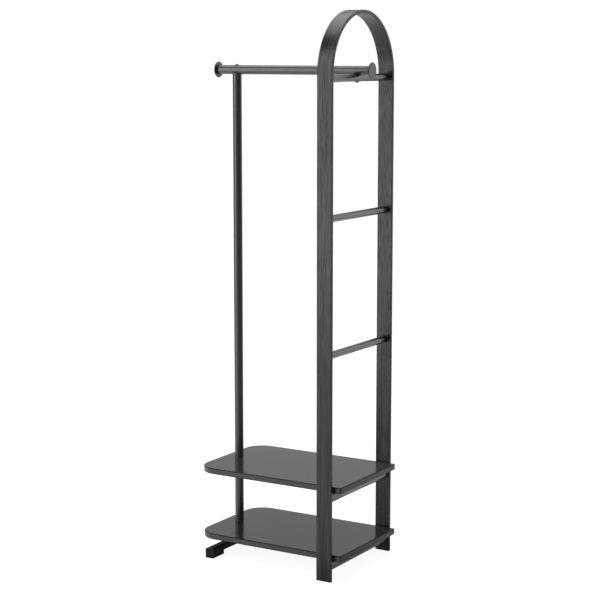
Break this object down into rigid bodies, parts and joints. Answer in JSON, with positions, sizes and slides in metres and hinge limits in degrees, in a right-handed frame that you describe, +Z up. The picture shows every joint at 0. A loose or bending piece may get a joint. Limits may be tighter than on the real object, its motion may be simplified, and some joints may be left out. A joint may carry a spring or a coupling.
{
  "type": "clothes stand",
  "caption": "Black clothes stand: a bent wood arch with round rungs, a post, a round hanging rod over both, and low shelves between them.",
  "frame": {"origin": "on the floor, below the middle of the hanging rod, which is also the middle of the arch's depth", "axes": "+X along the rod towards the arch, +Y across the arch towards its far leg, +Z up"},
  "size_m": [0.4906, 0.341, 1.5198],
  "materials": {
    "arch_wood": "black stained ash, satin",
    "rung_wood": "black stained, satin",
    "shelf_board": "black stained board, semi-gloss",
    "tube_lacquer": "black lacquer, semi-gloss",
    "bolt_black": "black",
    "fastener_steel": "zinc plated",
    "foot_wood": "black stained, satin"
  },
  "bodies": {
    "root": {"arch": "arch_wood", "rung_top": "rung_wood", "rung_upper": "rung_wood", "rung_lower": "rung_wood", "rail_upper": "rung_wood", "rail_lower": "rung_wood", "shelf_upper": "shelf_board", "shelf_lower": "shelf_board", "shelf_screws": "fastener_steel", "hanging_rod": "tube_lacquer", "rod_cap_left": "tube_lacquer", "rod_cap_right": "tube_lacquer", "rod_blocks": "fastener_steel", "rod_arch_bolt": "bolt_black", "rod_post_bolt": "bolt_black", "post_upper": "tube_lacquer", "post_middle": "tube_lacquer", "post_lower": "tube_lacquer", "post_plugs": "fastener_steel", "post_stud": "fastener_steel", "foot_bar": "foot_wood", "foot_pad_near": "foot_wood", "foot_pad_far": "foot_wood", "foot_bolt": "bolt_black", "pad_screws": "fastener_steel"}
  },
  "joints": []
}
